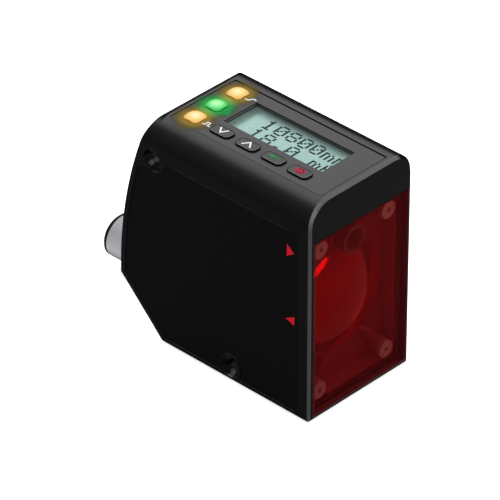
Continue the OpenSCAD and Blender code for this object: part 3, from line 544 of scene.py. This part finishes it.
# Painted glow of the receiving lens, which is no lamp, from its upper near side, 0, to its lower far side, 1, and
# how far the line from the one to the other runs along X and down
LENS_GLOW_TONES = ((0.27, 0.035), (0.5, 0.0), (0.61, 0.0), (0.67, 0.07), (0.7, 0.08), (0.77, 0.055), (0.88, 0.025),
            (1.0, 0.015))
LENS_LEAN = (0.82, 0.57)


def red_lens():
    """Deep red glass of the receiving lens, with red highlights and a painted glow across it."""
    material = finish("lens_red", [0.05, 0.0, 0.0, 1], [0.06, 0.0, 0.0, 1], 1.5, rough=(0.07, 0.1), level=1.0)
    tree = material.node_tree
    low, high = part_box("receiving_lens")
    middle, radius = (low + high) / 2, (high.x - low.x) / 2
    place = object_place(tree)
    aside = minus(tree, times(tree, minus(tree, place["X"], middle.x), LENS_LEAN[0]),
                  times(tree, minus(tree, place["Z"], middle.z), LENS_LEAN[1]))
    along = rescaled(tree, aside, 0.0, 1.0, -radius, radius)
    set_inputs(tree, tree.nodes["Principled BSDF"], {
        # Painted glow, though the lens is no lamp
        "Emission Color": ramp(tree, along, [(at, (light, 0, 0, 1)) for at, light in LENS_GLOW_TONES]),
        "Emission Strength": 1.0,
        "Specular Tint": (1.0, 0.0, 0.0, 1.0),
    })
    return material


# X and Y between which painted shade dims the display towards the far and rear walls of its opening, and its light
# there
FAR_WALL_SHADE = (crystal_high.x - 3.4 * MM, crystal_high.x - 1.0 * MM)
REAR_WALL_SHADE = (crystal_high.y - 3.0 * MM, crystal_high.y - 1.5 * MM)
DEEPEST_WALL_SHADE = 0.7


def lit_crystal():
    """Liquid crystal glass, lit from below, with painted shade along the far and rear walls of its opening."""
    material, tree, shader = new_material("crystal")
    place = object_place(tree)
    # Painted shade near the far and rear walls
    unshaded_share = times(tree, fade(tree, place["X"], *FAR_WALL_SHADE), fade(tree, place["Y"], *REAR_WALL_SHADE))
    tone = ramp(tree, noise(tree, 0.9), [(0.35, linear(150, 174, 169)), (0.65, linear(158, 182, 177))])
    shaded = scaled(tree, tone, rescaled(tree, unshaded_share, DEEPEST_WALL_SHADE, 1.0))
    set_inputs(tree, shader, {
        "Base Color": shaded,
        "Emission Color": shaded,
        "Emission Strength": 0.35,
        "Roughness": 0.45,
        "Specular IOR Level": MATT,
    })
    return material


# Tone of the plug, as a screen shows it, by how far it looks up, from 0 for down to 1 for up, with painted shade
# below and above
PLUG_SHADING_TONES =((0.14, (40, 40, 42)), (0.2, (95, 94, 97)), (0.3, (145, 144, 148)), (0.45, (182, 181, 185)),
        (0.72, (170, 169, 173)), (1.0, (135, 134, 137)))


def plug_metal():
    """Dull metal of the plug, with painted shade that darkens it above and below, and a black band round its open
    end.
    """
    material, tree, shader = new_material("plug_metal")
    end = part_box("plug_barrel")[1].y
    value = noise(tree, 0.5, 5.0, (0.25, 1, 1))
    edge = fade(tree, object_place(tree)["Y"], end - 1.4 * MM, end - 1.5 * MM)
    # Painted shade above and below, from how far a face looks up
    tone = ramp(tree, upward(tree, facing(tree)), [(place, linear(*shown)) for place, shown in PLUG_SHADING_TONES])
    metal = scaled(tree, tone, uneven(tree, value, 0.85, 1.1))
    set_inputs(tree, shader, {
        "Base Color": mix_colour(tree, edge, metal, grey(DEEP_BLACK)),
        "Metallic": times(tree, minus(tree, 1.0, edge), 0.6),
        "Roughness": uneven(tree, value, 0.6, 0.75),
        "Specular IOR Level": 0.1,
    })
    emboss(tree, shader, value, 0.004)
    return material


def tub_red():
    """Dull cast tub behind the window, with painted shade where it faces the window and painted light on its
    floor.
    """
    material = finish("chassis", [0.22, 0.09, 0.115, 1], [0.27, 0.11, 0.14, 1], 0.5, rough=(0.45, 0.6),
                      relief=0.002, level=0.02)
    tree = material.node_tree
    way = facing(tree)
    # Painted shade on faces that look towards the window
    overlay(material, times(tree, fade(tree, way["Y"], -0.8, -0.5), 0.85), [0.09, 0.033, 0.04, 1])
    # Painted light on faces that look up
    overlay(material, times(tree, fade(tree, way["Z"], 0.8, 0.5), 0.6), [0.34, 0.15, 0.18, 1])
    return material


# Even finishes by slot: the darker and the paler tone, the grain in mm, and what else finish takes
EVEN = {
    "label_black": (linear(13, 13, 13), linear(17, 17, 17), 0.3,
                    dict(rough=(0.5, 0.6), relief=0.001, level=MATT / 2)),
    "seal": (linear(10, 8, 8), linear(18, 15, 15), 0.3, dict(rough=(0.7, 0.85), relief=0.006, level=0.2)),
    "screw_steel": ([0.24, 0.5, 0.45, 1], [0.31, 0.62, 0.56, 1], 0.25,
                    dict(rough=(0.4, 0.55), relief=0.003, level=0.1)),
    "cone_black": (linear(20, 20, 21), linear(28, 28, 29), 0.5,
                   dict(rough=(0.6, 0.75), relief=0.004, level=0.3)),
    "filter": (linear(90, 16, 14), linear(115, 24, 20), 0.8, dict(rough=(0.1, 0.2))),
    "can_metal": (linear(170, 165, 150), linear(200, 196, 182), 0.3, dict(rough=(0.25, 0.4), metallic=1.0)),
    "tube_metal": (linear(70, 84, 84), linear(84, 98, 98), 0.2,
                   dict(stretch=(1, 8, 1), rough=(0.45, 0.6), relief=0.003, level=0.05)),
    "diode_gold": (linear(196, 150, 70), linear(226, 186, 104), 0.3, dict(rough=(0.2, 0.35), metallic=1.0)),
    "board_green": (linear(18, 70, 38), linear(30, 92, 54), 0.7, dict(rough=(0.35, 0.5), relief=0.008)),
    "black_plastic": (linear(16, 16, 17), linear(24, 24, 25), 0.35,
                      dict(rough=(0.5, 0.62), relief=0.006, level=0.12)),
    "standoff_brass": (linear(176, 140, 62), linear(206, 172, 92), 0.2,
                       dict(stretch=(1, 6, 1), rough=(0.25, 0.4), metallic=1.0)),
    "backlight": (linear(205, 208, 196), linear(224, 226, 216), 0.8, dict(rough=(0.4, 0.55))),
    "ribbon": (linear(178, 116, 34), linear(204, 142, 52), 0.5, dict(stretch=(1, 1, 10), rough=(0.3, 0.45))),
    "lamp_chip": (linear(236, 230, 190), linear(250, 246, 216), 0.3, dict(rough=(0.4, 0.5))),
    "clip_steel": (linear(150, 150, 154), linear(184, 184, 190), 0.2, dict(rough=(0.25, 0.4), metallic=1.0)),
    "contact_gold": (linear(205, 165, 80), linear(232, 196, 112), 0.2, dict(rough=(0.15, 0.3), metallic=1.0)),
    "wire_jacket": (linear(84, 54, 32), linear(104, 70, 44), 0.5, dict(rough=(0.4, 0.55))),
    "plug_white": (linear(206, 202, 188), linear(222, 218, 206), 0.5, dict(rough=(0.4, 0.55), relief=0.004)),
}


def dress_nodes():
    """Gives every CAD node the finish of its slot, or its own where it has one."""
    by_slot = {slot: finish(slot, dark, light, grain, **more) for slot, (dark, light, grain, more) in EVEN.items()}
    by_slot.update({
        "housing_black": housing_black(),
        "panel_grey": panel_grey(),
        "window_red": window_pane(),
        "cover_clear": see_through("cover_clear", [0.96, 0.99, 0.98, 1], [0.3, 0.33, 0.33, 1], 0.06, MATT, 2),
        "clear_glass": see_through("clear_glass", [0.9, 0.95, 1.0, 1], [0.5, 0.5, 0.5, 1], 0.2, 0.5, 1),
        "lamp_amber": lamp_lens("lamp_left", AMBER_LENS),
        "lamp_green": lamp_lens("lamp_middle", GREEN_LENS),
        "chassis": tub_red(),
        "lens_red": red_lens(),
        "crystal": lit_crystal(),
        "plug_metal": plug_metal(),
    })
    by_name = {key: key_grey(key) for key in KEYS}
    by_name["lamp_right"] = lamp_lens("lamp_right", AMBER_LENS)
    for name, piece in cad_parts.items():
        for place in piece.material_slots:
            slot = place.material.name.split(".")[0]
            place.material = by_name[name] if name in by_name else by_slot[slot]


# Marks and letters as thin solids: their height, and the limit to how far the corners of a line are drawn out
INK_HEIGHT = 0.02 * MM
SHARPEST = 0.35


def solid(name, prisms, body, material):
    """One piece from a list of closed prisms, each a list of corners below and the corners above them."""
    points, polygons = [], []
    for lower, upper in prisms:
        first = len(points)
        count = len(lower)
        points += list(lower) + list(upper)
        polygons.append([first + i for i in reversed(range(count))])
        polygons.append([first + count + i for i in range(count)])
        for i in range(count):
            j = (i + 1) % count
            polygons.append([first + i, first + j, first + count + j, first + count + i])
    mesh = bpy.data.meshes.new(name)
    mesh.from_pydata(points, [], polygons)
    mesh.materials.append(material)
    piece = bpy.data.objects.new(name, mesh)
    bpy.context.scene.collection.objects.link(piece)
    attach(piece, body)


def flat_prism(outline, z):
    """Prism of an outline in X and Y that stands on height z."""
    return [(x, y, z) for x, y in outline], [(x, y, z + INK_HEIGHT) for x, y in outline]


def side_prism(outline, x):
    """Prism of an outline in Y and Z, in mm from the front and the floor, that stands out of the near side."""
    corners = [(FRONT + y * MM, z * MM) for y, z in outline]
    return [(x - INK_HEIGHT, y, z) for y, z in corners], [(x, y, z) for y, z in corners]


def band(points, width):
    """Outline of a line with pointed corners. Points and width are in mm, from the middle and the front."""
    line = [Vector((x * MM, FRONT + y * MM)) for x, y in points]
    left, right = [], []
    for i, point in enumerate(line):
        before = (point - line[i - 1]).normalized() if i else (line[1] - point).normalized()
        after = (line[i + 1] - point).normalized() if i < len(line) - 1 else before
        across = Vector((-before.y - after.y, before.x + after.x)).normalized()
        across *= width * MM / 2 / max(SHARPEST, across.dot(Vector((-before.y, before.x))))
        left.append(tuple(point + across))
        right.append(tuple(point - across))
    return left + right[::-1]


def ink(name, *shown):
    """Printed colour, a little uneven."""
    colour = linear(*shown)
    return finish(name, darker(colour, 0.85), colour, 0.25, rough=(0.45, 0.6), level=MATT)


# Marks on the keys and beside the lamps, each a line of X and Y with its width, in mm
KEY_MARKS = {
    "key_down": ([(-7.8, 39.1), (-9.7, 37.8), (-7.8, 36.6)], 0.42),
    "key_up": ([(-9.75, 30.6), (-7.85, 29.23), (-9.75, 27.85)], 0.42),
    "key_enter": ([(-8.4, 22.4), (-8.4, 19.1)], 1.3),
    "key_back": ([(-8.7, 13.6), (-8.7, 10.75)], 1.9),
}
FINE_MARKS = {
    "key_enter": ([(-8.5, 22.2), (-8.5, 21.2), (-8.2, 20.9)], 0.5),
    "key_back": ([(-8.1, 13.2), (-8.1, 11.5), (-8.8, 11.1), (-9.3, 11.4), (-9.3, 13.0)], 0.32),
}
LAMP_MARKS = {
    "pulse_mark": ([(-9.2, 44.3), (-9.2, 43.45), (-7.95, 43.45), (-7.95, 42.6), (-9.2, 42.6), (-9.2, 41.7)], 0.33),
    "ramp_mark": ([(5.9, 44.4), (5.95, 43.4), (6.4, 43.1), (7.1, 42.75), (7.2, 42.3), (7.1, 41.7)], 0.36),
}
# Outlines in mm: X and Y of the arrow on the panel, Y and Z of the marks on the label
ARROW = [(-2.3, 44.6), (-2.5, 41.9), (0.2, 43.2)]
TRIANGLES = ([(7.7, 49.4), (7.8, 45.9), (5.3, 47.55)], [(8.1, 27.65), (5.1, 29.3), (5.2, 26.7)])
# Painted highlight along the upper edge of the label's recess, Y and Z in mm
LABEL_EDGE_HIGHLIGHT = [(7.4, 53.38), (46.0, 53.38), (46.0, 53.48), (7.4, 53.48)]

# Five by seven dots for each sign of the display, from the top row down
GLYPHS = {
    "0": ("01110", "10001", "10011", "10101", "11001", "10001", "01110"),
    "1": ("00100", "01100", "00100", "00100", "00100", "00100", "01110"),
    "8": ("01110", "10001", "10001", "01110", "10001", "10001", "01110"),
    "m": ("00000", "00000", "11010", "10101", "10101", "10101", "10101"),
    "A": ("01110", "10001", "10001", "11111", "10001", "10001", "10001"),
    ".": ("00000", "00000", "00000", "00000", "00000", "01100", "01100"),
}
MIDDLE_COLUMN, MIDDLE_ROW = 2, 3
# The two lines of the display, each with the X of its middle row
DISPLAY_LINES = ((" 10800mm", 3.8 * MM), (" 18.0 mA", -1.1 * MM))
FIRST_CELL_Y = FRONT + 37.95 * MM
CELL = 3.95 * MM
DOT_ALONG = CELL / 6
DOT_UP = 0.62 * MM
DOT_FILL = 0.96


def display_dots(material):
    """Dots of the two display lines, which read from the rear to the front."""
    w, h = DOT_UP * DOT_FILL / 2, DOT_ALONG * DOT_FILL / 2
    dots = []
    for text, line_x in DISPLAY_LINES:
        for cell, sign in enumerate(text):
            for row, bits in enumerate(GLYPHS.get(sign, ())):
                for column, bit in enumerate(bits):
                    if bit == "1":
                        x = line_x + (MIDDLE_ROW - row) * DOT_UP
                        y = FIRST_CELL_Y - cell * CELL - (column - MIDDLE_COLUMN) * DOT_ALONG
                        outline = [(x - w, y - h), (x + w, y - h), (x + w, y + h), (x - w, y + h)]
                        dots.append(flat_prism(outline, crystal_high.z))
    solid("display_dots", dots, "body", material)


def make_pieces():
    """Dots of the display, the printed marks of the keys, the panel and the near label, and a painted highlight
    along the top of the near label.
    """
    display_dots(ink("dot_ink", 18, 38, 38))
    white = ink("white_ink", 235, 235, 235)
    tones = {"key_down": white, "key_up": white, "key_enter": ink("green_ink", 62, 105, 72),
             "key_back": ink("red_ink", 165, 58, 72)}
    fine_tones = {"key_enter": ink("bright_green_ink", 45, 140, 75), "key_back": ink("dark_red_ink", 105, 18, 36)}
    for key, mark in KEY_MARKS.items():
        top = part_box(key)[1].z
        solid(key + "_mark", [flat_prism(band(*mark), top)], key, tones[key])
        if key in FINE_MARKS:
            solid(key + "_fine_mark", [flat_prism(band(*FINE_MARKS[key]), top + INK_HEIGHT / 2)],
                  key, fine_tones[key])
    for name, mark in LAMP_MARKS.items():
        solid(name, [flat_prism(band(*mark), FACE_Z)], "body", white)
    arrow = [(x * MM, FRONT + y * MM) for x, y in ARROW]
    solid("arrow_mark", [flat_prism(arrow, FACE_Z)], "body", ink("leaf_ink", 30, 132, 72))
    label_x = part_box("label_left")[0].x
    solid("side_marks", [side_prism(corners, label_x) for corners in TRIANGLES], "body",
          ink("signal_ink", 240, 40, 52))
    # Painted highlight along the top of the label
    solid("label_edge_highlight", [side_prism(LABEL_EDGE_HIGHLIGHT, label_x)], "body", ink("edge_highlight_grey", 66, 66, 66))


# Surroundings
AMBIENT = 0.3


def seen_directly(tree):
    """1 for rays that see the surroundings from the camera, in a reflection or through glass."""
    path = node(tree, "ShaderNodeLightPath").outputs
    return most(tree, path["Is Glossy Ray"], path["Is Transmission Ray"], path["Is Camera Ray"])


def make_world():
    """White surroundings that light the sensor far less than they show."""
    world = bpy.data.worlds.new("studio")
    bpy.context.scene.world = world
    world.use_nodes = True
    tree = world.node_tree
    strength = rescaled(tree, seen_directly(tree), AMBIENT, 1.0)
    set_inputs(tree, tree.nodes["Background"], {"Color": WHITE, "Strength": strength})


def soft_light(name, azimuth, elevation, distance, size, radiance, shift=(0, 0, 0), roll=0.0):
    """Rectangular soft light that faces the sensor, or a place beside it. Its watts follow from its radiance."""
    data = bpy.data.lights.new(name, "AREA")
    data.shape = "RECTANGLE"
    data.size, data.size_y = size
    data.energy = 4 * radiance * size[0] * size[1]
    light = bpy.data.objects.new(name, data)
    out = direction(math.radians(azimuth), math.radians(elevation))
    light.location = AIM + out * distance + Vector(shift)
    light.rotation_mode = "QUATERNION"
    light.rotation_quaternion = (-out).to_track_quat("-Z", "Y") @ Quaternion((0, 0, 1), math.radians(roll))
    light.visible_camera = False
    bpy.context.scene.collection.objects.link(light)


# Floor. It glows less round the sensor, so that the shadow shows, and fully from a distance on.
FLOOR_RADIUS = 4.0
FLOOR_DROP = 0.02 * MM
FLOOR_GREYS = (0.8, 0.82)
NEAR_GLOW = 0.72
GLOW_RISE = (0.6, 0.15)


def make_floor():
    bpy.ops.mesh.primitive_circle_add(vertices=96, radius=FLOOR_RADIUS, fill_type="NGON",
                                      location=(0, 0, -FLOOR_DROP))
    floor = bpy.context.object
    floor.name = "floor"
    material, tree, shader = new_material("floor_white")
    tones = [(place, (value, value, value, 1)) for place, value in zip((0.3, 0.7), FLOOR_GREYS)]
    away = node(tree, "ShaderNodeVectorMath", {0: object_point(tree)}, operation="LENGTH").outputs["Value"]
    glow = plus(tree, times(tree, fade(tree, away, *GLOW_RISE), 1 - NEAR_GLOW), NEAR_GLOW)
    set_inputs(tree, shader, {
        "Base Color": ramp(tree, noise(tree, 30, 2.0), tones),
        "Roughness": 0.9,
        "Specular IOR Level": 0.0,
        "Emission Color": WHITE,
        "Emission Strength": times(tree, glow, seen_directly(tree)),
    })
    floor.data.materials.append(material)


bpy.context.scene.view_settings.view_transform = "Standard"
make_camera()
dress_nodes()
make_pieces()
make_world()
soft_light("back_light", 180, 51, 0.7, (0.8, 0.24), 8.0, shift=(0.2, 0, 0))
soft_light("side_light", 46, 36, 0.7, (0.24, 0.2), 6.0)
soft_light("front_light", 9.1, 10.6, 0.713, (0.24, 0.1), 20.0, roll=25)
make_floor()

bpy.context.view_layer.update()
